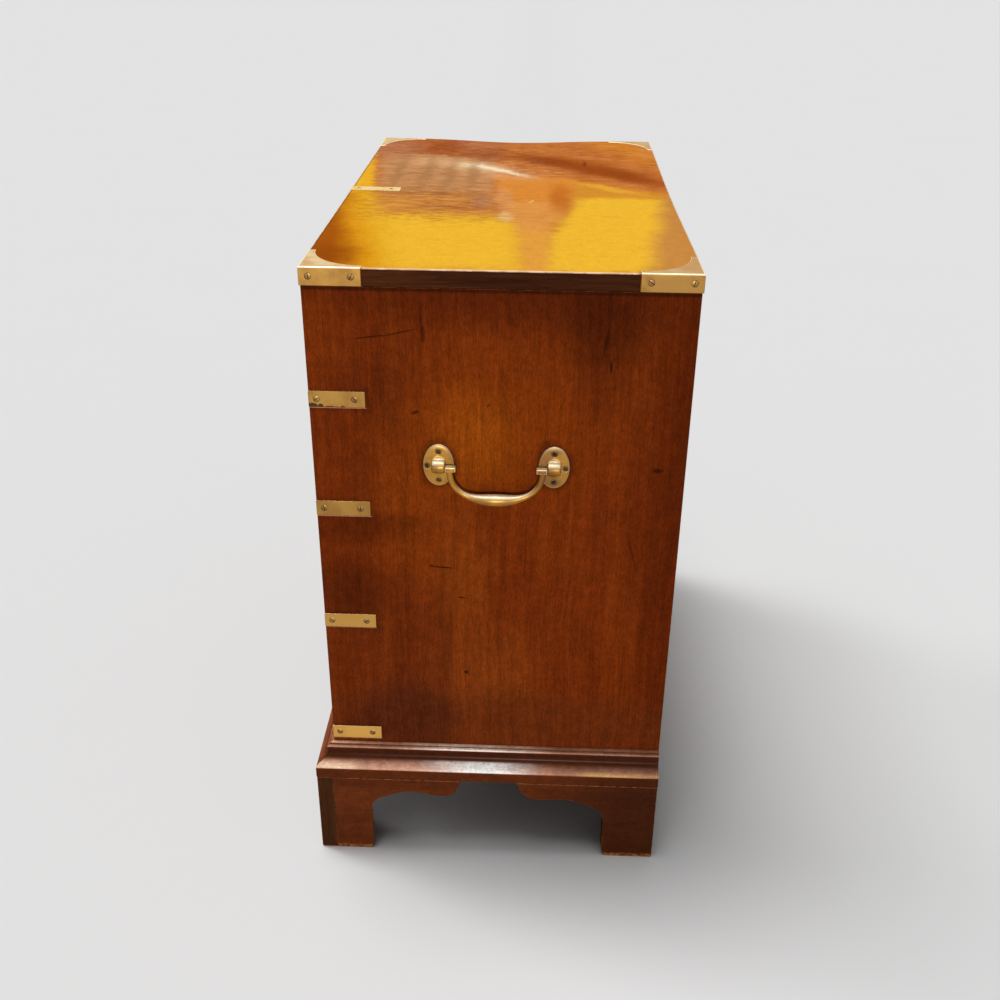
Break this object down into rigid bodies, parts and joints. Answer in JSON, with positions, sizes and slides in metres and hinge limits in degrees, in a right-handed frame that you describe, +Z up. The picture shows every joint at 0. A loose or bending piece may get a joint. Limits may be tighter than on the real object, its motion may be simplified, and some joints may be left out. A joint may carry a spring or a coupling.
{
  "type": "chest of drawers",
  "caption": "Brass-bound mahogany chest of drawers on shaped bracket feet, with short drawers over long ones, sunk brass drawer handles and swinging carrying handles.",
  "frame": {"origin": "middle of the bounding box, at the floor", "axes": "+Z up, the drawers face -Y, +X is the side with the carrying handle that the picture shows"},
  "size_m": [0.8906, 0.5152, 0.9214],
  "materials": {
    "mahogany_top": "french polished, faded to golden yellow",
    "mahogany_case": "french polished, aged",
    "mahogany_base": "french polished, worn at the feet",
    "drawer_lining": "bare, planed",
    "pine": "bare, darkened",
    "brass": "polished, slightly tarnished"
  },
  "bodies": {
    "case": {"back_board_lower": "pine", "back_board_upper": "pine", "base_frame": "mahogany_base", "bottom_board": "mahogany_case", "carrying_plate_left_front": "brass", "carrying_plate_left_rear": "brass", "carrying_plate_right_front": "brass", "carrying_plate_right_rear": "brass", "dust_board_lower": "mahogany_case", "dust_board_middle": "mahogany_case", "dust_board_upper": "mahogany_case", "foot_front_left": "mahogany_base", "foot_front_right": "mahogany_base", "foot_rear_left": "mahogany_base", "foot_rear_right": "mahogany_base", "short_drawer_upright": "mahogany_case", "side_panel_left": "mahogany_case", "side_panel_right": "mahogany_case", "side_strap_left_1": "brass", "side_strap_left_2": "brass", "side_strap_left_3": "brass", "side_strap_left_4": "brass", "side_strap_right_1": "brass", "side_strap_right_2": "brass", "side_strap_right_3": "brass", "side_strap_right_4": "brass", "top_board": "mahogany_top", "top_corner_back_left": "brass", "top_corner_back_right": "brass", "top_corner_front_left": "brass", "top_corner_front_right": "brass", "top_front_strap": "brass"},
    "drawer_top_left": {"drawer_top_left_front": "mahogany_case", "drawer_top_left_box": "drawer_lining", "drawer_top_left_handle_plate": "brass"},
    "drawer_top_left_bail": {"drawer_top_left_bail": "brass"},
    "drawer_top_right": {"drawer_top_right_front": "mahogany_case", "drawer_top_right_box": "drawer_lining", "drawer_top_right_handle_plate": "brass"},
    "drawer_top_right_bail": {"drawer_top_right_bail": "brass"},
    "drawer_second": {"drawer_second_front": "mahogany_case", "drawer_second_box": "drawer_lining", "drawer_second_handle_plate_left": "brass", "drawer_second_handle_plate_right": "brass"},
    "drawer_second_bail_left": {"drawer_second_bail_left": "brass"},
    "drawer_second_bail_right": {"drawer_second_bail_right": "brass"},
    "drawer_third": {"drawer_third_front": "mahogany_case", "drawer_third_box": "drawer_lining", "drawer_third_handle_plate_left": "brass", "drawer_third_handle_plate_right": "brass"},
    "drawer_third_bail_left": {"drawer_third_bail_left": "brass"},
    "drawer_third_bail_right": {"drawer_third_bail_right": "brass"},
    "drawer_bottom": {"drawer_bottom_front": "mahogany_case", "drawer_bottom_box": "drawer_lining", "drawer_bottom_handle_plate_left": "brass", "drawer_bottom_handle_plate_right": "brass"},
    "drawer_bottom_bail_left": {"drawer_bottom_bail_left": "brass"},
    "drawer_bottom_bail_right": {"drawer_bottom_bail_right": "brass"},
    "carrying_bail_right": {"carrying_bail_right": "brass"},
    "carrying_bail_left": {"carrying_bail_left": "brass"}
  },
  "joints": [
    {"name": "drawer_top_left_slide", "type": "slide", "parent": "case", "child": "drawer_top_left", "axis": [0, -1, 0], "range_m": [0, 0.36]},
    {"name": "drawer_top_left_bail_hinge", "type": "hinge", "parent": "drawer_top_left", "child": "drawer_top_left_bail", "pos_m": [-0.20615, -0.2284, 0.83275], "axis": [-1, 0, 0], "range_deg": [0, 90]},
    {"name": "drawer_top_right_slide", "type": "slide", "parent": "case", "child": "drawer_top_right", "axis": [0, -1, 0], "range_m": [0, 0.36]},
    {"name": "drawer_top_right_bail_hinge", "type": "hinge", "parent": "drawer_top_right", "child": "drawer_top_right_bail", "pos_m": [0.20615, -0.2284, 0.83275], "axis": [-1, 0, 0], "range_deg": [0, 90]},
    {"name": "drawer_second_slide", "type": "slide", "parent": "case", "child": "drawer_second", "axis": [0, -1, 0], "range_m": [0, 0.36]},
    {"name": "drawer_second_bail_left_hinge", "type": "hinge", "parent": "drawer_second", "child": "drawer_second_bail_left", "pos_m": [-0.20615, -0.2284, 0.67375], "axis": [-1, 0, 0], "range_deg": [0, 90]},
    {"name": "drawer_second_bail_right_hinge", "type": "hinge", "parent": "drawer_second", "child": "drawer_second_bail_right", "pos_m": [0.20615, -0.2284, 0.67375], "axis": [-1, 0, 0], "range_deg": [0, 90]},
    {"name": "drawer_third_slide", "type": "slide", "parent": "case", "child": "drawer_third", "axis": [0, -1, 0], "range_m": [0, 0.36]},
    {"name": "drawer_third_bail_left_hinge", "type": "hinge", "parent": "drawer_third", "child": "drawer_third_bail_left", "pos_m": [-0.20615, -0.2284, 0.5045], "axis": [-1, 0, 0], "range_deg": [0, 90]},
    {"name": "drawer_third_bail_right_hinge", "type": "hinge", "parent": "drawer_third", "child": "drawer_third_bail_right", "pos_m": [0.20615, -0.2284, 0.5045], "axis": [-1, 0, 0], "range_deg": [0, 90]},
    {"name": "drawer_bottom_slide", "type": "slide", "parent": "case", "child": "drawer_bottom", "axis": [0, -1, 0], "range_m": [0, 0.36]},
    {"name": "drawer_bottom_bail_left_hinge", "type": "hinge", "parent": "drawer_bottom", "child": "drawer_bottom_bail_left", "pos_m": [-0.20615, -0.2284, 0.31425], "axis": [-1, 0, 0], "range_deg": [0, 90]},
    {"name": "drawer_bottom_bail_right_hinge", "type": "hinge", "parent": "drawer_bottom", "child": "drawer_bottom_bail_right", "pos_m": [0.20615, -0.2284, 0.31425], "axis": [-1, 0, 0], "range_deg": [0, 90]},
    {"name": "carrying_bail_right_hinge", "type": "hinge", "parent": "case", "child": "carrying_bail_right", "pos_m": [0.4315, 0.0092, 0.6595], "axis": [0, -1, 0], "range_deg": [0, 180]},
    {"name": "carrying_bail_left_hinge", "type": "hinge", "parent": "case", "child": "carrying_bail_left", "pos_m": [-0.4315, 0.0092, 0.6595], "axis": [0, 1, 0], "range_deg": [0, 180]}
  ]
}
